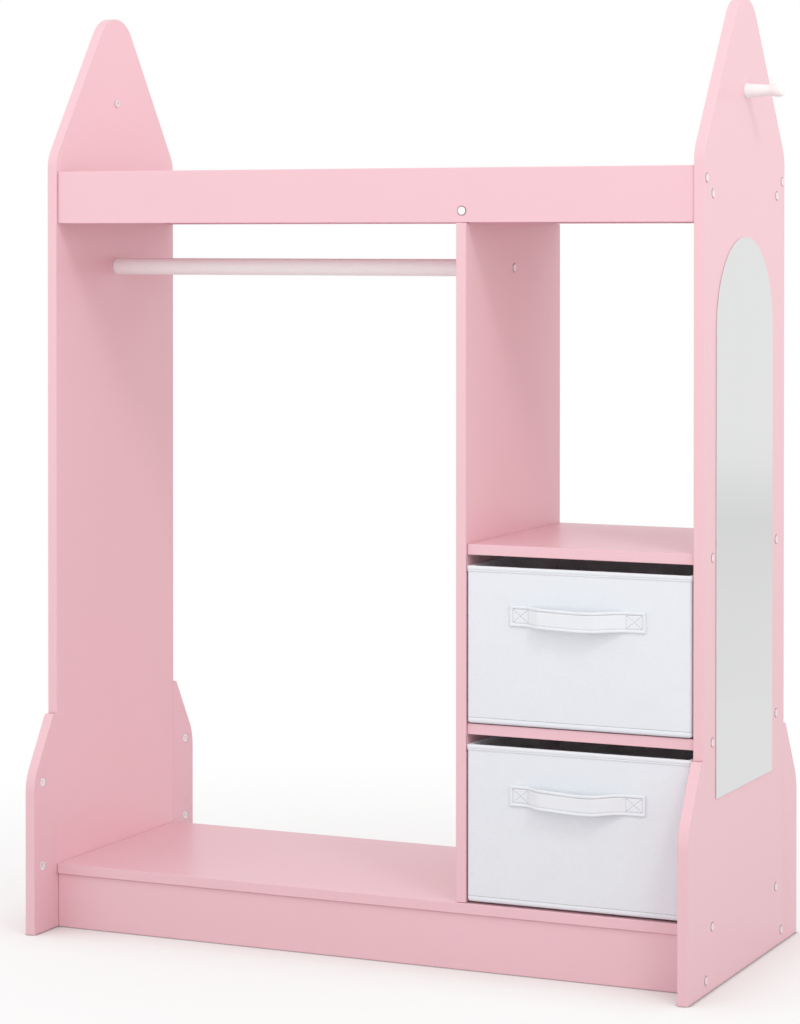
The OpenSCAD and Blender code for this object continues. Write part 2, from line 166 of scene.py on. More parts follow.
pink_lacquer = sprayed_lacquer("sprayed_pink_lacquer_on_mdf", "#F0C4CC", "#F2C7CF", 0.34, 0.02 * MM)
white_lacquer = sprayed_lacquer("sprayed_white_lacquer_on_wood", "#FCFEFE", "#FFFFFF", 0.3, 0.03 * MM)
print(pink_lacquer.name, white_lacquer.name)

# %% [markdown]
# ## Moulded and metal fittings
# Pegs are moulded ABS with a light gloss. Screw caps are moulded polypropylene, which is softer and
# a little waxy, and cam locks are moulded polyamide, which is harder and glossier. The screws are
# zinc-plated steel, whose crystals break up the reflection, and the two peg screws have white
# enamel over them.

# %% Plastics and metals
FLOW_SIZE, CRYSTAL_SIZE = 12 * MM, 1.2 * MM


def moulded(name, dark, light, roughness, grain, depth, **more):
    """Plastic or enamel: its colour wanders as it flowed, and fine pits are grain apart."""
    finish, tree, shader, place = start_finish(name, Roughness=roughness, IOR=1.49, **more)
    flow = add_node(tree, "ShaderNodeTexNoise", None,
                    {"Vector": place, "Scale": 1 / FLOW_SIZE, "Detail": 2.0})
    pits = add_node(tree, "ShaderNodeTexNoise", None,
                    {"Vector": place, "Scale": 1 / grain, "Detail": 2.0})
    end_finish(tree, shader, flow.outputs["Fac"], dark, light, pits.outputs["Fac"], depth)
    return finish


white_abs = moulded("moulded_white_abs", "#F6F7F6", "#FBFCFB", 0.3, 1.5 * MM, 0.01 * MM)
white_pp = moulded("moulded_white_polypropylene", "#F5F4F4", "#FAF9F9", 0.35, 1.0 * MM, 0.02 * MM)
blush_pp = moulded("moulded_blush_polypropylene", "#F1DEE1", "#F6E5E8", 0.4, 1.0 * MM, 0.02 * MM)
white_pa = moulded("moulded_white_polyamide", "#FAF8F8", "#FFFEFE", 0.2, 1.2 * MM, 0.01 * MM,
                   Coat_Weight=0.6, Coat_Roughness=0.12)
white_enamel = moulded("white_enamel_on_steel", "#E4E0E0", "#EEEBEA", 0.3, 1.2 * MM, 0.01 * MM)


def plated_steel(name, dark, light, roughness, depth):
    finish, tree, shader, place = start_finish(name, Roughness=roughness, Metallic=1.0)
    crystals = add_node(tree, "ShaderNodeTexVoronoi", None, {"Vector": place, "Scale": 1 / CRYSTAL_SIZE})
    shade = add_node(tree, "ShaderNodeRGBToBW", None, {"Color": crystals.outputs["Color"]})
    end_finish(tree, shader, shade.outputs["Val"], dark, light, crystals.outputs["Distance"], depth)
    return finish


zinc = plated_steel("zinc_plated_steel", "#A9ADB3", "#C6C9CE", 0.32, 0.02 * MM)
print(white_abs.name, white_pp.name, blush_pp.name, white_pa.name, white_enamel.name, zinc.name)

# %% [markdown]
# ## Mirror
# The mirror is a 1 mm acrylic sheet, silvered on its back and safe for a nursery. Acrylic bends a
# little over a few centimetres, so straight things look faintly wavy in it. The sawn edge shows no
# silver, only pale, satin plastic.

# %% Mirror sheet and its edge
WAVE_SIZE, WAVE_DEPTH = 120 * MM, 0.02 * MM
silvered, tree, shader, place = start_finish("silvered_acrylic_sheet", Roughness=0.02, Metallic=1.0)
wave = add_node(tree, "ShaderNodeTexNoise", None, {"Vector": place, "Scale": 1 / WAVE_SIZE, "Detail": 0.0})
end_finish(tree, shader, wave.outputs["Fac"], "#DCDDDD", "#DEDEDE", wave.outputs["Fac"], WAVE_DEPTH)
acrylic_edge = moulded("sawn_acrylic_edge", "#D8DADA", "#ECEDED", 0.35, 0.8 * MM, 0.02 * MM)
print(silvered.name, acrylic_edge.name)

# %% [markdown]
# ## Cloth
# The bins are covered in spunbond polypropylene, a cloth of hot-pressed fibres. The press leaves a
# regular field of tiny dimples, about 1.4 mm apart, and between them the fibres make a soft fuzz. Two
# families of waves that cross at a right angle give the dimples, and a fine noise gives the
# fibres. Bin walls are flat, so the pattern can lie in object coordinates, and the waves run on
# slants that look the same on the front and on the sides.

# %% Spunbond cloth
BLOTCH_SIZE, FIBRE_SIZE = 25 * MM, 0.9 * MM
# The length of one wave when the wave texture's scale is 1
ONE_WAVE = 0.314


def spunbond(name, dark, light, dimple, depth, sheen):
    finish, tree, shader, place = start_finish(
        name, Roughness=0.85, IOR=1.45, Sheen_Weight=sheen, Sheen_Roughness=0.5)
    blotch = add_node(tree, "ShaderNodeTexNoise", None,
                      {"Vector": place, "Scale": 1 / BLOTCH_SIZE, "Detail": 3.0})
    heights = []
    for slant in (45, -45):
        turned = add_node(tree, "ShaderNodeMapping", None,
                          {"Vector": place, "Rotation": (math.radians(slant), math.radians(slant), 0)})
        wave = add_node(tree, "ShaderNodeTexWave", {"bands_direction": "X"},
                        {"Vector": turned.outputs["Vector"], "Scale": ONE_WAVE / dimple, "Distortion": 0.6,
                         "Detail": 1.0, "Detail Scale": 1.0})
        heights.append(wave.outputs["Fac"])
    crossed = add_node(tree, "ShaderNodeMath", {"operation": "MULTIPLY"}, {0: heights[0], 1: heights[1]})
    fibres = add_node(tree, "ShaderNodeTexNoise", None,
                      {"Vector": place, "Scale": 1 / FIBRE_SIZE, "Detail": 2.0, "Roughness": 0.6})
    pressed = add_node(tree, "ShaderNodeBump", None, {"Height": crossed.outputs["Value"], "Distance": depth})
    # The fibres stand 0.8 times as high as the dimples are deep
    end_finish(tree, shader, blotch.outputs["Fac"], dark, light, fibres.outputs["Fac"], depth * 0.8,
               Normal=pressed.outputs["Normal"])
    return finish


white_cloth = spunbond("white_spunbond_cloth", "#E9EEF3", "#EDF1F6", 1.4 * MM, 0.10 * MM, 0.1)
strap_cloth = spunbond("white_spunbond_strap", "#EBEFF4", "#EFF3F7", 1.1 * MM, 0.06 * MM, 0.1)
pale_cloth = spunbond("grey_spunbond_lining", "#E2E4E6", "#E8EAEC", 1.4 * MM, 0.10 * MM, 0.2)
print(white_cloth.name, strap_cloth.name, pale_cloth.name)

# %% [markdown]
# ## Thread, card, beech and tape
# Sewing thread is spun polyester. Its mid grey is the thread's own colour darkened with painted shade,
# which stands in for the shade in the sewn grooves, so seams read as fine grey lines. The rest is
# hidden while the rack stands assembled, and is finished all the same: grey card in the bin walls,
# fluted beech dowels and white foam tape behind the mirror.

# %% Thread and hidden finishes
def streaked(name, dark, light, roughness, size, stretch, depth, **more):
    """Fibres or grain: a noise drawn out along one axis."""
    finish, tree, shader, place = start_finish(name, Roughness=roughness, **more)
    drawn = add_node(tree, "ShaderNodeMapping", None, {"Vector": place, "Scale": stretch})
    fibre = add_node(tree, "ShaderNodeTexNoise", None,
                     {"Vector": drawn.outputs["Vector"], "Scale": 1 / size, "Detail": 3.0})
    end_finish(tree, shader, fibre.outputs["Fac"], dark, light, fibre.outputs["Fac"], depth)
    return finish


# The thread's grey is partly painted shade: it darkens the seams as the shade in their grooves would
thread = streaked("polyester_thread_grey_with_painted_shade", "#999CA1", "#ABAEB3", 0.7, 0.3 * MM, (1, 1, 1), 0.03 * MM)
grey_card = streaked("pressed_grey_card", "#8F8778", "#A39A8A", 0.9, 2 * MM, (0.3, 1, 1), 0.05 * MM)
beech = streaked("fluted_beech", "#CDB08A", "#DEC6A2", 0.6, 1.2 * MM, (1, 0.08, 1), 0.05 * MM)
foam_tape = streaked("closed_cell_foam_tape", "#DAD9D5", "#EDECE8", 0.9, 0.5 * MM, (1, 1, 1), 0.08 * MM)
print(thread.name, grey_card.name, beech.name, foam_tape.name)

# %% [markdown]
# ## How a finished piece joins the frame
# A new piece is a mesh whose points already lie in the rack's own coordinates, so its object stays at
# the origin. It is given a finish and tied to the body it moves with, and the CAD nodes it stands
# for are hidden. Its number of faces is printed.

# %% Helper that makes a piece
def make_piece(name, shape, finishes, body, slot, *nodes):
    """Turns a bmesh into a piece on a body. finishes is one material, or several in slot order."""
    mesh = bpy.data.meshes.new(name)
    shape.to_mesh(mesh)
    shape.free()
    for finish in finishes if isinstance(finishes, (list, tuple)) else [finishes]:
        mesh.materials.append(finish)
    piece = bpy.data.objects.new(name, mesh)
    bpy.context.scene.collection.objects.link(piece)
    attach(piece, body)
    if nodes:
        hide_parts(*nodes)
    print(f"{name}: {len(mesh.polygons)} faces")
    return piece


print("make_piece ready")

# %% [markdown]
# ## Where the screws are
# Twenty-eight screws have a white cap, and each one's place is read off the CAD node of the caps,
# whose separate solids they are. A cap is thinnest along its own axis. On the front and the back it
# faces away from the middle of the rack. Along the width it faces left where it sits on the left
# face of the divider or of the left panel, and right everywhere else.

# %% Find the caps
def merged_copy(node):
    """A CAD node's shape with its loose triangles merged."""
    shape = bmesh.new()
    shape.from_mesh(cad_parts[node].data)
    bmesh.ops.remove_doubles(shape, verts=shape.verts, dist=0.01 * MM)
    return shape


def islands(node):
    """The lowest and highest corner of each separate solid in a CAD node."""
    shape = merged_copy(node)
    unseen, found = set(shape.verts), []
    while unseen:
        reached, points = [unseen.pop()], []
        while reached:
            vert = reached.pop()
            points.append(vert.co.copy())
            for edge in vert.link_edges:
                other = edge.other_vert(vert)
                if other in unseen:
                    unseen.discard(other)
                    reached.append(other)
        low = Vector([min(p[i] for p in points) for i in range(3)])
        high = Vector([max(p[i] for p in points) for i in range(3)])
        found.append((low, high))
    shape.free()
    return sorted(found, key=lambda corners: tuple(corners[0]))


CAP_STEM = 1.5 * MM
LEFT_FACES = [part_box(board)[0].x for board in ("divider", "left_side_panel")]
cap_places = []
for low, high in islands("screw_caps"):
    size, middle = high - low, (low + high) / 2
    axis = min(range(3), key=lambda i: size[i])
    outward = Vector((0, 0, 0))
    if axis == 1:
        outward.y = 1 if middle.y > 0 else -1
    else:
        # The seat of a cap that faces left lies in one of these faces
        faces_left = any(abs(high.x - CAP_STEM - face) < NEAR for face in LEFT_FACES)
        outward.x = -1 if faces_left else 1
    foot = middle.copy()
    foot[axis] = low[axis] + CAP_STEM if outward[axis] > 0 else high[axis] - CAP_STEM
    cap_places.append((foot, outward))
print(f"{len(cap_places)} caps, {len(islands('cam_locks'))} cam locks")

# %% [markdown]
# ## Boards
# A sawn board has edges like a knife, and a lacquered one doesn't: it is sanded round first, and the
# lacquer draws back from the edge, so each arris shows a thin line of light. Modelling the
# boards again could bring in errors, so each one is a copy of its CAD node. The copy's loose
# triangles are merged, its flat faces joined, and the long edges rounded by 0.9 mm. Every capped
# hole is a little wider than its cap, which leaves a fine dark ring. Where a board butts
# against another, it stays 0.35 mm short, as sawn boards do, which draws the thin dark line of
# each joint, and the rails, whose joints show most, stay 0.5 mm short. The wings are another
# matter: they are pulled up tight by their cam locks and their faces are level with the panel's, so
# their seams hardly show. A wing's end is left square and reaches over the panel's rounded edge, up
# to a hairline. Only the left rear wing's seam is open enough to show through the hanging bay.

# %% Helpers that clean and soften a CAD shape
def clean_copy(node):
    """A CAD node's shape with its triangles merged and its flat faces joined."""
    shape = merged_copy(node)
    bmesh.ops.dissolve_limit(shape, angle_limit=math.radians(0.3), verts=shape.verts, edges=shape.edges)
    return shape


def long_rims(shape, least_turn, least_size):
    """The sharp edges that join into outlines larger than least_size."""
    sharp = {e for e in shape.edges if len(e.link_faces) == 2 and e.calc_face_angle(0) > least_turn}
    kept = []
    while sharp:
        rim, reached = [], [sharp.pop()]
        while reached:
            edge = reached.pop()
            rim.append(edge)
            for near in [e for v in edge.verts for e in v.link_edges if e in sharp]:
                sharp.discard(near)
                reached.append(near)
        points = [v.co for e in rim for v in e.verts]
        size = max(max(p[i] for p in points) - min(p[i] for p in points) for i in range(3))
        if size > least_size:
            kept += rim
    return kept


def round_off(shape, parts, radius, segments, kind="EDGES"):
    """Rounds edges, or the corners of an outline where kind says VERTICES."""
    bmesh.ops.bevel(shape, geom=parts, offset=radius, offset_type="OFFSET", segments=segments,
                    profile=0.5, affect=kind, material=-1)


def shade_smooth(shape):
    for face in shape.faces:
        face.smooth = True


def soften(shape, radius, segments=3, least_turn=math.radians(35), least_size=20 * MM, square_y=None):
    """Rounds the outlines of a clean shape, apart from an end at square_y."""
    rims = long_rims(shape, least_turn, least_size)
    if square_y is not None:
        rims = [e for e in rims if any(abs(v.co.y - square_y) > NEAR for v in e.verts)]
    round_off(shape, rims, radius, segments)
    shade_smooth(shape)


def keep_flats_flat(piece):
    """Shading normals follow the large faces, so that a rounded edge doesn't tint the flat beside it."""
    weighted = piece.modifiers.new("flat_faces_lead", "WEIGHTED_NORMAL")
    weighted.keep_sharp = True
    weighted.weight = 100


print("softening helpers ready")

# %% Helpers for holes and joints
# The hole for a screw head: radius and depth in CAD, and the radius it is widened to
HEAD_HOLE_R, HEAD_HOLE_H, WIDENED_R = 4.5 * MM, 3 * MM, 5.6 * MM
# What lies this near to a board's end goes with it, and its holes lie deeper
END_REACH = 1.2 * MM


def widen_head_holes(shape):
    """Widens each capped hole that opens in this board, down to the seat of its screw head."""
    for foot, outward in cap_places:
        for vert in shape.verts:
            off = vert.co - foot
            along = off.dot(outward)
            across = off - outward * along
            in_hole = min(abs(along), abs(along + HEAD_HOLE_H)) < NEAR
            if in_hole and abs(across.length - HEAD_HOLE_R) < NEAR:
                vert.co += across.normalized() * (WIDENED_R - HEAD_HOLE_R)


def shorten(shape, axis, low_end, high_end):
    """Draws in the ends of a board along one axis, and leaves its holes where they are."""
    places = [v.co[axis] for v in shape.verts]
    low, high = min(places), max(places)
    for vert in shape.verts:
        if vert.co[axis] - low < END_REACH:
            vert.co[axis] += low_end
        elif high - vert.co[axis] < END_REACH:
            vert.co[axis] -= high_end


print("board helpers ready")

# %% The fifteen boards
ARRIS, GAP, RAIL_GAP = 0.9 * MM, 0.35 * MM, 0.5 * MM
HAIRLINE, OPEN_SEAM = 0.12 * MM, 0.4 * MM
OVER_EDGE = ARRIS - HAIRLINE
# Each board with the ends that butt against others: axis, and how far its low and high end draw in.
# A wing's end does the opposite, and reaches over the rounded edge of its panel.
BOARDS = {
    "left_side_panel": [], "right_side_panel": [],
    "left_front_wing": [(1, 0, -OVER_EDGE)], "left_rear_wing": [(1, OPEN_SEAM - OVER_EDGE, 0)],
    "right_front_wing": [(1, 0, -OVER_EDGE)], "right_rear_wing": [(1, -OVER_EDGE, 0)],
    "front_top_rail": [(0, RAIL_GAP, RAIL_GAP)], "rear_top_rail": [(0, RAIL_GAP, RAIL_GAP)],
    "top_shelf": [(0, GAP, GAP), (1, GAP, GAP)], "divider": [(2, GAP, GAP)],
    "upper_shelf": [(0, GAP, GAP)], "middle_shelf": [(0, GAP, GAP)],
    "base_board": [(0, GAP, GAP)],
    "front_kickboard": [(0, GAP, GAP), (2, 0, GAP)], "rear_kickboard": [(0, GAP, GAP), (2, 0, GAP)],
}
rails_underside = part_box("front_top_rail")[0].z
for node, ends in BOARDS.items():
    shape = clean_copy(node)
    widen_head_holes(shape)
    for axis, low_end, high_end in ends:
        shorten(shape, axis, low_end, high_end)
    if node == "divider":
        # Its two shoulders stay clear of the rails' undersides
        for vert in shape.verts:
            if abs(vert.co.z - rails_underside) < NEAR:
                vert.co.z -= GAP
    seam_y = None
    if "wing" in node:
        seam_y = min((v.co.y for v in shape.verts), key=abs)
    soften(shape, ARRIS, square_y=seam_y)
    board = make_piece(f"{node}_lacquered", shape, pink_lacquer, "root", "pink_board", node)
    keep_flats_flat(board)

# %% [markdown]
# ## Turned fittings
# The rod and the pegs are round, and a round thing is a profile spun about its axis. The rod runs
# straight, with a small chamfer at its ends. A peg tapers to a waist, so that a strap stays
# on it, and flares into a rounded end.

# %% Helper that spins a profile
def turned(profile, steps, place):
    """Spins a profile of (radius, height) about Z, closes it, and puts it in place."""
    shape = bmesh.new()
    points = [shape.verts.new((r, 0, h)) for r, h in profile]
    outline = [shape.edges.new(pair) for pair in zip(points, points[1:])]
    bmesh.ops.spin(shape, geom=points + outline, cent=(0, 0, 0), axis=(0, 0, 1), dvec=(0, 0, 0),
                   angle=math.tau, steps=steps, use_merge=True)
    bmesh.ops.remove_doubles(shape, verts=shape.verts, dist=0.005 * MM)
    bmesh.ops.recalc_face_normals(shape, faces=shape.faces)
    bmesh.ops.transform(shape, matrix=place, verts=shape.verts)
    shade_smooth(shape)
    return shape


def aim(point, direction):
    """The matrix that stands +Z along direction at point."""
    return Matrix.Translation(point) @ Vector(direction).to_track_quat("Z", "X").to_matrix().to_4x4()


def sharp_over(piece, degrees):
    """Shading breaks where faces meet at more than that angle."""
    piece.data.set_sharp_from_angle(angle=math.radians(degrees))


print("turning helpers ready")

# %% Hanging rod
low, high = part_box("hanging_rod")
rod_r, rod_len = (high.z - low.z) / 2, high.x - low.x
CHAMFER, ROD_PARTS = 0.6 * MM, 8
rod_profile = [(0, 0), (rod_r - CHAMFER, 0), (rod_r, CHAMFER)]
rod_profile += [(rod_r, rod_len * i / ROD_PARTS) for i in range(1, ROD_PARTS)]
rod_profile += [(rod_r, rod_len - CHAMFER), (rod_r - CHAMFER, rod_len), (0, rod_len)]
shape = turned(rod_profile, 48, aim((low.x, (low.y + high.y) / 2, (low.z + high.z) / 2), (1, 0, 0)))
rod = make_piece("hanging_rod_lacquered", shape, white_lacquer, "root", "white_rod", "hanging_rod")
sharp_over(rod, 30)
print(f"rod: {rod_len / MM:.0f} mm long, {2 * rod_r / MM:.0f} mm thick")

# %% Pegs
# Points of (radius, distance from the panel), in mm
PEG_PROFILE = [(0, 0), (8.3, 0), (8.5, 0.25), (8.5, 1.2), (8.25, 2.2), (7.7, 7), (7.1, 13), (6.55, 19),
               (6.2, 23.5), (6.05, 26), (6.15, 28), (6.5, 30), (7.0, 32), (7.35, 33.8), (7.5, 36),
               (7.5, 39), (7.3, 40.6), (6.7, 41.9), (5.6, 42.7), (4.2, 43), (0, 43)]
for side, sign in (("left", -1), ("right", 1)):
    low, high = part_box(f"{side}_peg")
    foot_x = high.x if sign < 0 else low.x
    axis_z = (low.z + high.z) / 2
    shape = turned([(r * MM, h * MM) for r, h in PEG_PROFILE], 40, aim((foot_x, 0, axis_z), (sign, 0, 0)))
    peg = make_piece(f"{side}_peg_moulded", shape, white_abs, "root", "white_plastic", f"{side}_peg")
    sharp_over(peg, 50)

# %% [markdown]
# ## Screw caps
# A cap is a small moulded disc over a screw head: a low rounded rim, and a shallow dish in its
# middle. All of them are alike, so one profile is spun at every place. The ones on the outer faces
# of the side panels are tinted towards the lacquer, so that they hardly show, and the rest are white.

# %% Caps
# Points of (radius, height over the board), in mm
CAP_PROFILE = [(0, -1.5), (1.6, -1.5), (1.6, 0.0), (4.3, 0.0), (4.55, 0.1), (4.6, 0.25), (4.45, 0.45),
               (4.1, 0.56), (3.7, 0.6), (3.2, 0.56), (2.9, 0.46), (2.7, 0.34), (2.4, 0.28),
               (1.4, 0.26), (0, 0.26)]
panel_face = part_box("right_side_panel")[1].x
caps = bmesh.new()
for foot, outward in cap_places:
    one = turned([(r * MM, h * MM) for r, h in CAP_PROFILE], 24, aim(foot, outward))
    for face in one.faces:
        face.material_index = 0 if abs(foot.x) > panel_face - NEAR else 1
    mesh = bpy.data.meshes.new("one_cap")
    one.to_mesh(mesh)
    one.free()
    caps.from_mesh(mesh)
    bpy.data.meshes.remove(mesh)
cap_piece = make_piece("screw_caps_moulded", caps, [blush_pp, white_pp], "root", "white_caps", "screw_caps")
sharp_over(cap_piece, 50)
print(f"{len(cap_places)} caps placed")

# %% [markdown]
# ## Cam locks and peg screws
# These already have their cross slots in CAD. Rounding their rims by a few tenths of a millimetre is
# enough to catch the light. A cam has to turn in its hole, so it is made a little smaller than the hole,
# which leaves a dark ring round it.

# %% Cams and peg screws
CAM_R, CAM_PLAY = 6 * MM, 0.6 * MM
cam_middles = [(low + high) / 2 for low, high in islands("cam_locks")]
for node, finish, slot, radius in (("cam_locks", white_pa, "white_caps", 0.3 * MM),
                                   ("peg_screws", white_enamel, "white_screws", 0.6 * MM)):
    shape = clean_copy(node)
    if node == "cam_locks":
        for vert in shape.verts:
            middle = min(cam_middles, key=lambda m: (m - vert.co).length)
            off = Vector((0, vert.co.y - middle.y, vert.co.z - middle.z))
            if off.length > CAM_R - NEAR:
                vert.co -= off.normalized() * CAM_PLAY
    soften(shape, radius, segments=2, least_turn=math.radians(60), least_size=8 * MM)
    part = make_piece(f"{node}_softened", shape, finish, "root", slot, node)
    sharp_over(part, 40)

# %% Mirror sheet
# The foam tape behind the sheet is squeezed, so that the sheet nearly touches the panel
TAPE_SQUEEZE, MIRROR_ARRIS = 0.3 * MM, 0.4 * MM
shape = clean_copy("mirror")
sheet_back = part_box("mirror")[0].x
for vert in shape.verts:
    if abs(vert.co.x - sheet_back) < NEAR:
        vert.co.x -= TAPE_SQUEEZE
soften(shape, MIRROR_ARRIS, segments=2)
for face in shape.faces:
    face.material_index = 0 if face.normal.x > 0.9 else 1
mirror = make_piece("mirror_sheet_silvered", shape, [silvered, acrylic_edge], "root",
                    "mirror_sheet", "mirror")
keep_flats_flat(mirror)

# %% Finishes of the CAD nodes that stay
STAYING = {"mirror_tape": foam_tape, "board_screws": zinc, "cam_bolts": zinc, "wing_dowels": beech}
for node, finish in STAYING.items():
    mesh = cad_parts[node].data
    mesh.materials.clear()
    mesh.materials.append(finish)
print(f"{len(STAYING)} CAD nodes finished")

# %% [markdown]
# ## Bin cover and lining
# A bin is a cloth cover over four stiff cards, with a pale lining inside. Card keeps the walls
# flat, but cloth never lies dead flat on it: each wall is a little fuller in its middle, the corners
# are soft, and a few low ripples run across. A simulation would hardly move cloth that is
# sewn tight over card, so the walls are cut into a fine grid and moved by functions. The
# lowest 7.5 mm is a doubled strip, which stands a little proud of a sewn groove. The floor card bows
# down a little, so the lower edge is just clear of the shelf and leaves a dark line there.

# %% Helpers for an open box of cloth
# Faces round a corner
CORNER_PARTS = 6


def cut_across(shape, point, direction):
    """Cuts all faces along a plane through a point, which faces in a direction."""
    bmesh.ops.bisect_plane(shape, geom=shape.verts[:] + shape.edges[:] + shape.faces[:],
                           dist=0.001 * MM, plane_co=point, plane_no=direction)


def open_box(width, depth, height, corner, foot, cell):
    """An open box around the origin with rounded uprights and floor edge, in a grid of small faces."""
    shape = bmesh.new()
    bmesh.ops.create_cube(shape, size=1.0)
    bmesh.ops.scale(shape, vec=(width, depth, height), verts=shape.verts)
    bmesh.ops.translate(shape, vec=(0, 0, height / 2), verts=shape.verts)
    uprights = [e for e in shape.edges if abs(e.verts[0].co.z - e.verts[1].co.z) > height / 2]
    round_off(shape, uprights, corner, CORNER_PARTS)
    lid = [f for f in shape.faces if f.calc_center_median().z > height * 0.99]
    bmesh.ops.delete(shape, geom=lid, context="FACES")
    floor_rim = [e for e in shape.edges
                 if all(v.co.z < 0.01 * MM for v in e.verts) and len(e.link_faces) == 2]
    round_off(shape, floor_rim, foot, 4)
    # The flat stretches are cut from corner to corner, and the height up to the rim but not along it
    for axis, start, end in ((0, -width / 2 + corner, width / 2 - corner),
                             (1, -depth / 2 + corner, depth / 2 - corner), (2, foot, height)):
        steps = round((end - start) / cell)
        for i in range(steps + (axis < 2)):
            at, across = Vector((0, 0, 0)), Vector((0, 0, 0))
            at[axis] = start + (end - start) * i / steps
            across[axis] = 1
            cut_across(shape, at, across)
    shade_smooth(shape)
    return shape


def outward_at(point, width, depth, corner):
    """The outward direction of a rounded rectangle's wall at a point, level with the floor."""
    core = Vector((max(-(width / 2 - corner), min(width / 2 - corner, point.x)),
                   max(-(depth / 2 - corner), min(depth / 2 - corner, point.y)), point.z))
    away = point - core
    return away.normalized() if away.length > 1e-7 else Vector((0, 0, 0))


def thicken(piece, title, thickness):
    """Gives a sheet its thickness, on the inner side."""
    layer = piece.modifiers.new(title, "SOLIDIFY")
    layer.thickness = thickness
    layer.offset = -1


print("box helpers ready")

# %% Sizes of the bins
def spans(node):
    """The width, depth and height of a CAD node, to a hundredth of a millimetre."""
    return [round(length / MM, 2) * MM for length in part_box(node)[1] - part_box(node)[0]]


BINS = ("upper", "lower")
BIN_W, BIN_D, COVER_H = spans("upper_bin_cover")
BINDING_T = 1.2 * MM
BIN_H = COVER_H + BINDING_T
BIN_CORNER = 3.5 * MM
COVER_T, LINING_T = 1 * MM, 0.8 * MM
STRIP_H = 7.5 * MM
# The lower bin's floor card bows down a little more, and that lifts its walls
BOW_LIFT = {"upper": 0.0, "lower": 1.2 * MM}
bin_places = {}
for name in BINS:
    low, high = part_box(f"{name}_bin_cover")
    bin_places[name] = Vector(((low.x + high.x) / 2, (low.y + high.y) / 2, low.z + BOW_LIFT[name]))
    print(f"{name} bin stands at {[round(c / MM, 1) for c in bin_places[name]]} mm")
print(f"a bin is {[round(c / MM, 1) for c in (BIN_W, BIN_D, BIN_H)]} mm")

# %% Helper that makes a bin's piece
def make_bin_piece(name, ending, shape, finish, slot, *parts):
    """A piece that moves with the upper or the lower bin, in place of some of its CAD parts."""
    nodes = [f"{name}_bin_{part}" for part in parts]
    return make_piece(f"{name}_bin_{ending}", shape, finish, f"{name}_bin", slot, *nodes)


print("make_bin_piece ready")

# %% How the cloth moves
# How far the lower edge stands off the board, at a bin's left and at its right
FOOT_LIFT = {"upper": (1.0 * MM, 1.0 * MM), "lower": (1.0 * MM, 1.4 * MM)}
# That fades out this far up the wall, and this far in over the floor
LIFT_UP, LIFT_IN = 6 * MM, 25 * MM


def ripple(point, seed, size):
    """A smooth wander between -1 and 1."""
    return noise.noise(Vector((point.x / size, point.y / size, point.z / size + seed)))


def foot_lift(point, name):
    """How far the cloth bows up near the lower edge of a bin."""
    left, right = FOOT_LIFT[name]
    to_wall = min(BIN_W / 2 - abs(point.x), BIN_D / 2 - abs(point.y))
    lift = left + (right - left) * (point.x / BIN_W + 0.5)
    return lift * max(0, 1 - point.z / LIFT_UP) * max(0, 1 - to_wall / LIFT_IN)


def full_wall(point, width, depth, height):
    """0 at the seams of a wall and 1 in its middle."""
    along = point.x / (width / 2) if abs(point.y) > abs(point.x) * depth / width else point.y / (depth / 2)
    up = (point.z - STRIP_H) / (height - STRIP_H) * 2 - 1
    return max(0, 1 - along ** 4) * max(0, 1 - up ** 4)


print(f"the lower edges stand {FOOT_LIFT['upper'][0] / MM:.1f} mm or more off their boards")

# %% Covers
COVER_FOOT, COVER_CELL = 3.4 * MM, 4.5 * MM
GROOVE_HALF_W, GROOVE_DEPTH = 0.5 * MM, 0.7 * MM
# A wall is fuller in its middle, and a ripple wanders over it
FULLNESS, WANDER, WANDER_SIZE = 0.5 * MM, 0.35 * MM, 60 * MM
# The cards hold the left and right walls closer
SIDE_SHARE = 0.5
for number, name in enumerate(BINS):
    shape = open_box(BIN_W, BIN_D, COVER_H, BIN_CORNER, COVER_FOOT, COVER_CELL)
    for step in (-GROOVE_HALF_W, 0, GROOVE_HALF_W):
        cut_across(shape, (0, 0, STRIP_H + step), (0, 0, 1))
    for vert in shape.verts:
        away = outward_at(vert.co, BIN_W, BIN_D, BIN_CORNER)
        away.z = 0
        full = full_wall(vert.co, BIN_W, BIN_D, BIN_H)
        proud = full * (FULLNESS + WANDER * ripple(vert.co, 7 * number, WANDER_SIZE))
        if abs(vert.co.z - STRIP_H) < NEAR:
            proud -= GROOVE_DEPTH
        if abs(away.x) > abs(away.y):
            proud *= SIDE_SHARE
        vert.co += away * proud + Vector((0, 0, foot_lift(vert.co, name)))
    bmesh.ops.translate(shape, vec=bin_places[name], verts=shape.verts)
    cover = make_bin_piece(name, "cover_sewn", shape, white_cloth, "white_fabric", "cover")
    thicken(cover, "cloth_thickness", COVER_T)

# %% Stiff cards in the walls
# They end a little above the floor, where the cover turns round its lower edge
CARD_CUT = 3.5 * MM
for name in BINS:
    shape = clean_copy(f"{name}_bin_card_walls")
    foot_z = min(vert.co.z for vert in shape.verts)
    for vert in shape.verts:
        if vert.co.z < foot_z + NEAR:
            vert.co.z += CARD_CUT
    make_bin_piece(name, "cards_cut", shape, grey_card, "grey_card", "card_walls")

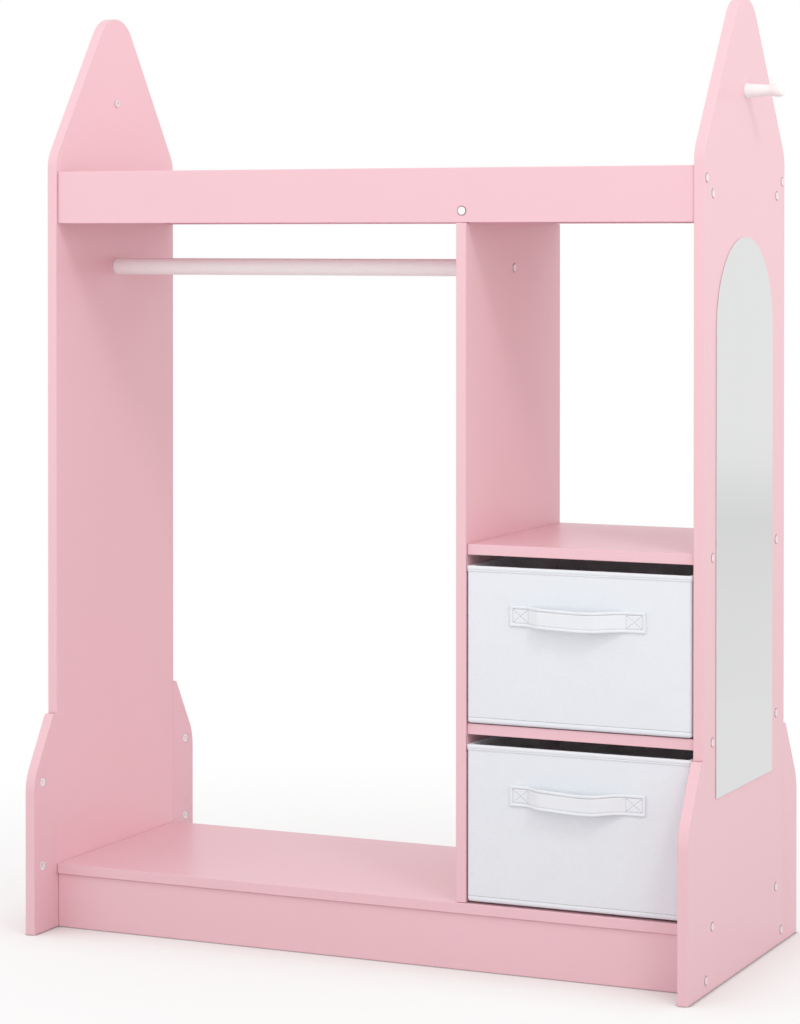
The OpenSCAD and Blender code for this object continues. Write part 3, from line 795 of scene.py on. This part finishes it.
# %% Linings
# A lining lies inside the cards, on the cover's floor, and hangs slack by up to 0.9 mm
LINING_IN, LINING_CORNER, LINING_FOOT, LINING_CELL = 3 * MM, 1.6 * MM, 1.5 * MM, 6 * MM
SLACK, SLACK_SIZE = 0.9 * MM, 45 * MM
lining_w, lining_d = BIN_W - 2 * LINING_IN, BIN_D - 2 * LINING_IN
for number, name in enumerate(BINS):
    shape = open_box(lining_w, lining_d, COVER_H - COVER_T, LINING_CORNER, LINING_FOOT, LINING_CELL)
    for vert in shape.verts:
        away = outward_at(vert.co, lining_w, lining_d, LINING_CORNER)
        away.z = 0
        hang = SLACK * (0.5 + 0.5 * ripple(vert.co, 40 + number, SLACK_SIZE))
        full = full_wall(vert.co, BIN_W, BIN_D, BIN_H)
        vert.co += Vector((0, 0, foot_lift(vert.co, name))) - away * hang * full
    bmesh.ops.translate(shape, vec=bin_places[name] + Vector((0, 0, COVER_T)), verts=shape.verts)
    lining = make_bin_piece(name, "lining_sewn", shape, pale_cloth, "grey_fabric", "lining")
    thicken(lining, "cloth_thickness", LINING_T)

# %% [markdown]
# ## Base boards of the bins
# A loose card in a pale cloth sleeve stiffens each floor. It is a thin slab with soft edges.

# %% Base cards
SLEEVE_EDGE = 1.2 * MM
for name in BINS:
    shape = clean_copy(f"{name}_bin_base_card")
    soften(shape, SLEEVE_EDGE)
    card = make_bin_piece(name, "base_sleeved", shape, pale_cloth, "sleeved_card", "base_card")
    keep_flats_flat(card)

# %% [markdown]
# ## Rim binding
# The rim is bound with a folded tape that takes in cover, card and lining. Its cross-section is an
# upside-down U with a full, round top, which is the brightest line on the whole bin. It is swept round
# the rim by extruding a rounded outline again and again, each time moved to the next point
# of the cross-section.

# %% Helpers for the bindings
# Points of (distance out from the cover, height over the rim), in mm
BINDING_PROFILE = [(0.15, -6.0), (0.75, -6.05), (1.0, -5.8), (1.02, -5.0), (0.9, -4.3), (0.85, -4.0),
                   (0.95, -3.6), (1.15, -2.6), (1.2, -1.6), (1.05, -0.8), (0.6, -0.25), (-0.2, -0.02),
                   (-1.8, 0.0), (-3.4, -0.05), (-4.1, -0.35), (-4.5, -0.9), (-4.6, -1.8), (-4.55, -3.0),
                   (-4.35, -4.0), (-4.5, -4.6), (-4.5, -5.7), (-4.2, -6.0), (-3.85, -6.0)]
# The least radius that the corners of an inner outline keep
SHARPEST = 0.3 * MM


def rounded_outline(width, depth, corner, cell):
    """Edges of a rounded rectangle around the origin, its straight sides cut into cells."""
    shape = bmesh.new()
    bmesh.ops.create_grid(shape, x_segments=1, y_segments=1, size=0.5)
    bmesh.ops.scale(shape, vec=(width, depth, 1), verts=shape.verts)
    round_off(shape, shape.verts[:], corner, CORNER_PARTS, kind="VERTICES")
    bmesh.ops.delete(shape, geom=shape.faces[:], context="FACES_ONLY")
    for length in (width, depth):
        sides = [e for e in shape.edges if abs(e.calc_length() - (length - 2 * corner)) < NEAR]
        bmesh.ops.subdivide_edges(shape, edges=sides, cuts=round(length / cell))
    return shape


def between_outlines(point, was, now):
    """A point of one outline round the bin, moved to another. Both are named by their distance
    from the cover, and where one lies deep inside, its corners get nearly sharp."""
    r_was, r_now = (max(BIN_CORNER + out, SHARPEST) for out in (was, now))
    away = outward_at(point, BIN_W + 2 * was, BIN_D + 2 * was, r_was)
    core = point - away * r_was
    for axis, size in ((0, BIN_W), (1, BIN_D)):
        reach = size / 2 + now - r_now
        core[axis] = max(-reach, min(reach, core[axis]))
    return core + away * r_now


print(f"{len(BINDING_PROFILE)} points across the binding")

# %% Bindings
BINDING_CELL = 6 * MM
PUCKER, PUCKER_SIZE = 0.12 * MM, 30 * MM
for number, name in enumerate(BINS):
    shape = rounded_outline(BIN_W, BIN_D, BIN_CORNER, BINDING_CELL)
    ring = shape.edges[:]
    previous = (0, 0)
    for i, (out, up) in enumerate(BINDING_PROFILE):
        if i:
            made = bmesh.ops.extrude_edge_only(shape, edges=ring)["geom"]
            ring = [g for g in made if isinstance(g, bmesh.types.BMEdge)]
        for vert in {v for e in ring for v in e.verts}:
            vert.co = between_outlines(vert.co, previous[0] * MM, out * MM)
            vert.co.z += (up - previous[1]) * MM
        previous = (out, up)
    bmesh.ops.recalc_face_normals(shape, faces=shape.faces)
    for vert in shape.verts:
        vert.co.z += BIN_H + PUCKER * ripple(vert.co, 80 + number, PUCKER_SIZE)
    bmesh.ops.translate(shape, vec=bin_places[name], verts=shape.verts)
    shade_smooth(shape)
    make_bin_piece(name, "rim_bound", shape, strap_cloth, "white_fabric", "binding")

# %% [markdown]
# ## Strap handles
# A handle is a flat strap with a corded edge, sewn down at both ends with a box and a cross. Between
# the ends it stands out about 15 mm: it leaves the left patch steeply, runs straight, and comes
# back gently on the right, because a hand has pulled it that way. Its weight draws it down a
# little in the middle, more on the lower bin. The strap starts as a flat grid. One function gives its
# distance from the bin along its length, one how far it sags, and one the relief across it.

# %% Strap path
STRAP_L = spans("upper_bin_handle")[0]
STRAP_W, STRAP_T = 23 * MM, 1.6 * MM
# The strap's middle line lies this far under the rim, and the cloth stands this clear of the bin
HANDLE_DROP, STAND_OFF = 53 * MM, 0.3 * MM
# Corners of the strap's path: place along it from its middle, and distance from the bin, in mm
STRAP_BENDS = [(-100, 0), (-57.5, 0), (-42, 12.6), (-20, 13.8), (23, 15), (54.5, 0), (100, 0)]
# Corners of its sag: place along it in mm, and the share of the whole sag
SAG_BENDS = [(-100, 0), (-42, 0), (4, 1), (24, 0.8), (44, 0), (100, 0)]
SAG = {"upper": 1.4 * MM, "lower": 2.2 * MM}
# Half the length of a bend, in mm
SOFT_BEND = 3.2


def along_bends(s, bends):
    """The value at s along the strap: straight runs, averaged over nine places to soften the bends."""
    total = 0.0
    for k in range(-4, 5):
        at = s / MM + SOFT_BEND * k / 4
        for (a, low), (b, high) in zip(bends, bends[1:]):
            if a <= at <= b:
                total += low + (high - low) * (at - a) / (b - a)
                break
    return total / 9


def strap_bow(s):
    """Distance from the bin at s along the strap."""
    return along_bends(s, STRAP_BENDS) * MM


print(f"the strap stands {strap_bow(20 * MM) / MM:.1f} mm off the bin at 20 mm right of its middle")

# %% Strap relief
CORD_W, CORD_H = 3.4 * MM, 0.75 * MM
# A seam runs along the strap in a groove just inside the cord
SEAM_IN, SEAM_DEPTH, SEAM_HALF_W = CORD_W + 0.3 * MM, 0.45 * MM, 0.7 * MM
SEWN_DEPTH, SEWN_HALF_W = 0.4 * MM, 0.8 * MM
# The sewn box at each end: its inner and outer side from the strap's middle, and half its height
BOX_INNER, BOX_OUTER, BOX_HALF_H = STRAP_L / 2 - 22.5 * MM, STRAP_L / 2 - 3.8 * MM, 7.5 * MM
FAR_AWAY = 1.0


def near_line(d, half_width):
    """1 on a line and 0 beyond its half width."""
    return max(0.0, 1 - (d / half_width) ** 2)


def box_stitch_distance(s, t):
    """Distance to the sewn box and cross of the nearer end."""
    middle, half = (BOX_INNER + BOX_OUTER) / 2, (BOX_OUTER - BOX_INNER) / 2
    u, v = (abs(s) - middle) / half, t / BOX_HALF_H
    if max(abs(u), abs(v)) > 1.15:
        return FAR_AWAY
    to_box = abs(max((abs(u) - 1) * half, (abs(v) - 1) * BOX_HALF_H))
    # Square to a slanted line, a distance is about 0.7 of the one along the strap
    to_cross = min(abs(u - v), abs(u + v)) * half * 0.7
    return min(to_box, to_cross)


def strap_relief(s, t):
    """Corded edge, groove inside it, and the pulled-in stitches."""
    from_edge = min(STRAP_W / 2 - abs(t), STRAP_L / 2 - abs(s))
    cord = 0.0
    if from_edge < CORD_W:
        across = (from_edge - CORD_W / 2) / (CORD_W / 2)
        cord = CORD_H * math.sqrt(max(0, 1 - across * across))
    groove = SEAM_DEPTH * near_line(from_edge - SEAM_IN, SEAM_HALF_W)
    sewn = SEWN_DEPTH * near_line(box_stitch_distance(s, t), SEWN_HALF_W)
    return cord - groove - sewn


def strap_point(name, s, t, proud):
    """The point of a strap's face at s along it and t across it, and a little proud of it."""
    middle = bin_places[name] + Vector((0, -BIN_D / 2, BIN_H - HANDLE_DROP))
    out = strap_bow(s) + STRAP_T + strap_relief(s, t) + STAND_OFF + proud
    return middle + Vector((s, -out, t - SAG[name] * along_bends(s, SAG_BENDS)))


print(f"the sewn boxes are {(BOX_OUTER - BOX_INNER) / MM:.1f} mm long")

# %% Straps
# The cloth between the ends is slack, and wanders a little
STRAP_WANDER, STRAP_WANDER_SIZE = 0.25 * MM, 22 * MM
FULL_BOW = 15 * MM
for number, name in enumerate(BINS):
    shape = bmesh.new()
    bmesh.ops.create_grid(shape, x_segments=200, y_segments=54, size=0.5)
    bmesh.ops.scale(shape, vec=(STRAP_L, STRAP_W, 1), verts=shape.verts)
    for vert in shape.verts:
        s, t = vert.co.x, vert.co.y
        wander = STRAP_WANDER * ripple(Vector((s, t, 0)), 20 + number, STRAP_WANDER_SIZE)
        vert.co = strap_point(name, s, t, wander * strap_bow(s) / FULL_BOW)
    bmesh.ops.recalc_face_normals(shape, faces=shape.faces)
    if sum(f.normal.y for f in shape.faces) > 0:
        bmesh.ops.reverse_faces(shape, faces=shape.faces)
    shade_smooth(shape)
    strap = make_bin_piece(name, "handle_strap", shape, strap_cloth, "white_strap", "handle")
    thicken(strap, "strap_thickness", STRAP_T)

# %% [markdown]
# ## Stitches
# Stitches are what tells sewn cloth from moulded plastic. Each one is a short thread that dips into the
# cloth at both ends. Real thread is 0.3 mm thick; it is drawn 0.5 mm thick, so that it shows at
# all. A path is cut into equal lengths, and a few-sided bead is laid on each.

# %% Helper that sews along a path
STITCH_L, STITCH_R, PITCH = 2.4 * MM, 0.26 * MM, 3.4 * MM


def sew(shape, path, normals):
    """Lays stitches along a path of points, each turned to the cloth's normal there."""
    lengths = [0.0]
    for a, b in zip(path, path[1:]):
        lengths.append(lengths[-1] + (b - a).length)
    count = max(1, round(lengths[-1] / PITCH))
    at = 0
    for n in range(count):
        where = (n + 0.5) * lengths[-1] / count
        while at < len(lengths) - 2 and lengths[at + 1] < where:
            at += 1
        share = (where - lengths[at]) / max(lengths[at + 1] - lengths[at], 1e-9)
        point = path[at].lerp(path[at + 1], share)
        along = (path[at + 1] - path[at]).normalized()
        normal = normals[at].normalized()
        side = normal.cross(along).normalized()
        turn = Matrix((along, side, normal)).transposed().to_4x4()
        bead = bmesh.ops.create_icosphere(shape, subdivisions=1, radius=1.0)["verts"]
        bmesh.ops.scale(shape, vec=(STITCH_L / 2, STITCH_R, STITCH_R), verts=bead)
        bmesh.ops.transform(shape, matrix=Matrix.Translation(point) @ turn, verts=bead)
    return count


print("needle ready")

# %% Helpers for the handles' and the bins' seams
THREAD_PROUD = 0.12 * MM
SEW_POINTS = 60


def strap_normal(s):
    """The direction away from the strap's face at s along it."""
    slope = (strap_bow(s + 0.5 * MM) - strap_bow(s - 0.5 * MM)) / MM
    return Vector((-slope, -1, 0))


def sew_strap(threads, name, start, end):
    """Sews a straight line on a strap, between two places given along and across it."""
    line = [Vector(start).lerp(Vector(end), i / SEW_POINTS) for i in range(SEW_POINTS + 1)]
    path = [strap_point(name, p.x, p.y, THREAD_PROUD) for p in line]
    return sew(threads, path, [strap_normal(p.x) for p in line])


def walk_round(outline):
    """The points of a closed outline in their order, and the first one again at the end."""
    outline.verts.ensure_lookup_table()
    loop = [outline.verts[0]]
    while True:
        nearby = [e.other_vert(loop[-1]) for e in loop[-1].link_edges]
        ahead = [v for v in nearby if v not in loop]
        if not ahead:
            break
        loop.append(ahead[0])
    points = [v.co.copy() for v in loop + loop[:1]]
    outline.free()
    return points


around = walk_round(rounded_outline(BIN_W, BIN_D, BIN_CORNER, 8 * MM))
print(f"{len(around) - 1} points round a bin")

# %% Stitches on the handles and round the bins
# The long seams of a strap start and end this far from its ends
SEAM_SHORT = 4 * MM
# Seams round a bin: height over its foot, and how far out from the cover. One holds the binding, and
# the other lies in the groove over the doubled strip.
ROUND_SEAMS = ((BIN_H - 4.15 * MM, 0.95 * MM), (STRIP_H, -0.25 * MM))
seam_end, seam_side = STRAP_L / 2 - SEAM_SHORT, STRAP_W / 2 - SEAM_IN
for name in BINS:
    threads = bmesh.new()
    count = 0
    for t in (-seam_side, seam_side):
        count += sew_strap(threads, name, (-seam_end, t), (seam_end, t))
    for sign in (-1, 1):
        a, b, h = sign * BOX_INNER, sign * BOX_OUTER, BOX_HALF_H
        for start, end in (((a, -h), (a, h)), ((b, -h), (b, h)), ((a, -h), (b, h)), ((a, h), (b, -h))):
            count += sew_strap(threads, name, start, end)
    make_bin_piece(name, "handle_stitches", threads, thread, "white_strap")
    print(f"{count} stitches on the strap")

    threads = bmesh.new()
    normals = [outward_at((a + b) / 2, BIN_W, BIN_D, BIN_CORNER) for a, b in zip(around, around[1:])]
    normals.append(normals[0])
    count = 0
    for up, out in ROUND_SEAMS:
        path = [p + outward_at(p, BIN_W, BIN_D, BIN_CORNER) * out + Vector((0, 0, up)) + bin_places[name]
                for p in around]
        count += sew(threads, path, normals)
    make_bin_piece(name, "seam_stitches", threads, thread, "white_fabric")
    print(f"{count} stitches round the bin")

# %% [markdown]
# ## The studio
# The picture has a white room, broad soft light from every side, and one lamp high on the
# front right that throws soft shadows down and back. The lamp's direction is read from the shadow of
# the peg on the right panel: it falls as far back as it falls down and as the peg is long. The room is
# the world's own light. Boards that face different ways tell how strong it is from each of the six
# sides, and the square of a direction's share blends one side into the next. To the camera the room
# looks white. The mirror and other gloss see it white too, with a faint grey band low down, as where
# the paper of a studio curves up from the floor into the wall.

# %% Rays that see the room
def seeing_rays(tree):
    """Two sockets: 1 for rays from the camera, and 1 for those that see by gloss or glass as well."""
    rays = add_node(tree, "ShaderNodeLightPath")
    straight = rays.outputs["Is Camera Ray"]
    seen = add_node(tree, "ShaderNodeMath", {"operation": "MAXIMUM"},
                    {0: straight, 1: rays.outputs["Is Glossy Ray"]})
    seen = add_node(tree, "ShaderNodeMath", {"operation": "MAXIMUM"},
                    {0: seen.outputs["Value"], 1: rays.outputs["Is Transmission Ray"]})
    return straight, seen.outputs["Value"]


print("seeing_rays ready")

# %% World
# Each side of the room: its axis and sign, and how bright it is
ROOM_LIGHT = {"left": ("X", -1.0, 1.42), "right": ("X", 1.0, 1.3), "front": ("Y", -1.0, 1.22),
              "back": ("Y", 1.0, 0.62), "above": ("Z", 1.0, 0.66), "below": ("Z", -1.0, 0.5)}
# The grey band: how far down its directions look, and how bright it is on its way up
BAND_LOW, BAND_HIGH, BAND_FOOT = -0.2, -0.05, 0.97
BAND = ((0.23, 0.951), (0.55, 0.912), (0.73, 0.866), (0.80, 0.922), (0.86, 0.98), (0.93, 1.0))
world = bpy.data.worlds.new("white_room")
bpy.context.scene.world = world
world.use_nodes = True
tree = world.node_tree
tree.nodes.clear()
straight, seen = seeing_rays(tree)
heading = add_node(tree, "ShaderNodeTexCoord").outputs["Generated"]
parts = add_node(tree, "ShaderNodeSeparateXYZ", None, {0: heading})
strength = 0.0
for axis, sign, level in ROOM_LIGHT.values():
    side = add_node(tree, "ShaderNodeMath", {"operation": "MULTIPLY"}, {0: parts.outputs[axis], 1: sign})
    side = add_node(tree, "ShaderNodeMath", {"operation": "MAXIMUM"}, {0: side.outputs["Value"], 1: 0.0})
    side = add_node(tree, "ShaderNodeMath", {"operation": "POWER"}, {0: side.outputs["Value"], 1: 2.0})
    side = add_node(tree, "ShaderNodeMath", {"operation": "MULTIPLY_ADD"},
                    {0: side.outputs["Value"], 1: level, 2: strength})
    strength = side.outputs["Value"]
room = add_node(tree, "ShaderNodeBackground", None, {"Color": linear("#FFFFFF"), "Strength": strength})
dip = add_node(tree, "ShaderNodeMapRange", None,
               {"Value": parts.outputs["Z"], "From Min": BAND_LOW, "From Max": BAND_HIGH})
cove = add_node(tree, "ShaderNodeValToRGB", None, {"Fac": dip.outputs["Result"]})
stops = cove.color_ramp.elements
stops[0].color = (BAND_FOOT, BAND_FOOT, BAND_FOOT, 1)
for at, level in BAND:
    stops.new(at).color = (level, level, level, 1)
plain = add_node(tree, "ShaderNodeMix", {"data_type": "RGBA"},
                 {0: straight, 6: cove.outputs["Color"], 7: linear("#FFFFFF")})
white = add_node(tree, "ShaderNodeBackground", None, {"Color": plain.outputs[2], "Strength": 1.0})
either = add_node(tree, "ShaderNodeMixShader", None,
                  {0: seen, 1: room.outputs["Background"], 2: white.outputs["Background"]})
add_node(tree, "ShaderNodeOutputWorld", None, {"Surface": either.outputs["Shader"]})
print("room light", {side: level for side, (_, _, level) in ROOM_LIGHT.items()})

# %% Lamp
LAMP_PLACE, LAMP_AIM, LAMP_SIZE = Vector((2.25, -1.91, 3.27)), Vector((0, 0, 0.6)), 0.9
# The lamp is this bright on a surface that faces it at this distance
LAMP_LEVEL, LAMP_REACH = 0.18, 3.5
lamp = bpy.data.lights.new("soft_lamp", "AREA")
lamp.shape = "DISK"
lamp.size = LAMP_SIZE
# A disc lamp of power P lights a facing surface at distance d as bright as P / (pi^2 d^2)
lamp.energy = LAMP_LEVEL * math.pi ** 2 * LAMP_REACH ** 2
lamp_object = bpy.data.objects.new("soft_lamp", lamp)
lamp_object.location = LAMP_PLACE
lamp_object.rotation_euler = (LAMP_PLACE - LAMP_AIM).to_track_quat("Z", "Y").to_euler()
bpy.context.scene.collection.objects.link(lamp_object)
print(f"lamp of {lamp.energy:.0f} W at {[round(c, 2) for c in lamp_object.location]}")

# %% [markdown]
# ## The floor
# The rack stands on a round sheet of white paper. To the camera and to gloss the paper is a mix: part
# of it is lit as any surface is, which keeps the rack's shadow, and part glows white, more of it
# with distance, so that the paper melts into the white room. The glow is shaded where boards are near,
# softly within 120 mm and darkly within 9 mm, which draws the line under them. All other rays meet a
# greyer, slightly pink paper, as the light that a floor sends up under a pink rack is.

# %% Floor sheet
FLOOR_R = 2.2
shape = bmesh.new()
bmesh.ops.create_circle(shape, cap_ends=True, segments=96, radius=FLOOR_R)
mesh = bpy.data.meshes.new("studio_floor")
shape.to_mesh(mesh)
shape.free()
floor = bpy.data.objects.new("studio_floor", mesh)
bpy.context.scene.collection.objects.link(floor)
print(f"floor of {FLOOR_R} m")

# %% Paper: its colour, and how much of it glows
# The share that glows grows from the first to the second, between these distances from the middle
GLOW_SHARES, GLOW_REACH = (0.62, 1.0), (0.4, 1.3)
# The glow is a little weaker in gloss than straight from the camera
GLOW_IN_GLOSS = 0.95
paper = bpy.data.materials.new("white_paper_floor")
paper.use_nodes = True
tree = paper.node_tree
shader = tree.nodes["Principled BSDF"]
shader.inputs["Roughness"].default_value = 0.9
shader.inputs["Specular IOR Level"].default_value = 0.0
straight, seen = seeing_rays(tree)
sheet = add_node(tree, "ShaderNodeMix", {"data_type": "RGBA"},
                 {0: seen, 6: linear("#CBC2C2"), 7: linear("#F8F6F5")})
tree.links.new(sheet.outputs[2], shader.inputs["Base Color"])
place = add_node(tree, "ShaderNodeTexCoord").outputs["Object"]
away = add_node(tree, "ShaderNodeVectorMath", {"operation": "LENGTH"}, {0: place})
fade = add_node(tree, "ShaderNodeMapRange", {"interpolation_type": "SMOOTHSTEP"},
                {"Value": away.outputs["Value"], "From Min": GLOW_REACH[0], "From Max": GLOW_REACH[1],
                 "To Min": GLOW_SHARES[0], "To Max": GLOW_SHARES[1]})
share = add_node(tree, "ShaderNodeMath", {"operation": "MULTIPLY"}, {0: seen, 1: fade.outputs["Result"]})
level = add_node(tree, "ShaderNodeMapRange", None, {"Value": straight, "To Min": GLOW_IN_GLOSS})
print("paper ready")

# %% Paper: the shade near the boards
SHADE_REACH, LINE_REACH = 120 * MM, 9 * MM
# The shade's colour from fully enclosed to open, and the openness at which each one stands
DARKEST, SHADES = "#8E7C7C", ((0.3, "#C9B6B6"), (0.55, "#EFE3E3"), (0.8, "#FBF7F7"))
# The dark line under a board: how dark it gets, and the openness at which it starts and ends
LINE_DARK, LINE_OPEN = 0.12, (0.45, 0.85)
near = add_node(tree, "ShaderNodeAmbientOcclusion", {"samples": 8}, {"Distance": SHADE_REACH})
contact = add_node(tree, "ShaderNodeValToRGB", None, {"Fac": near.outputs["AO"]})
stops = contact.color_ramp.elements
stops[0].color = linear(DARKEST)
for at, colour in SHADES:
    stops.new(at).color = linear(colour)
touch = add_node(tree, "ShaderNodeAmbientOcclusion", {"samples": 8}, {"Distance": LINE_REACH})
line = add_node(tree, "ShaderNodeMapRange", {"interpolation_type": "SMOOTHSTEP"},
                {"Value": touch.outputs["AO"], "From Min": LINE_OPEN[0], "From Max": LINE_OPEN[1],
                 "To Min": LINE_DARK})
dimmed = add_node(tree, "ShaderNodeMath", {"operation": "MULTIPLY"},
                  {0: line.outputs["Result"], 1: level.outputs["Result"]})
glow = add_node(tree, "ShaderNodeEmission", None,
                {"Color": contact.outputs["Color"], "Strength": dimmed.outputs["Value"]})
both = add_node(tree, "ShaderNodeMixShader", None,
                {0: share.outputs["Value"], 1: shader.outputs["BSDF"], 2: glow.outputs["Emission"]})
tree.links.new(both.outputs["Shader"], tree.nodes["Material Output"].inputs["Surface"])
floor.data.materials.append(paper)
print("floor laid")

# %% Bring the scene up to date
bpy.context.view_layer.update()
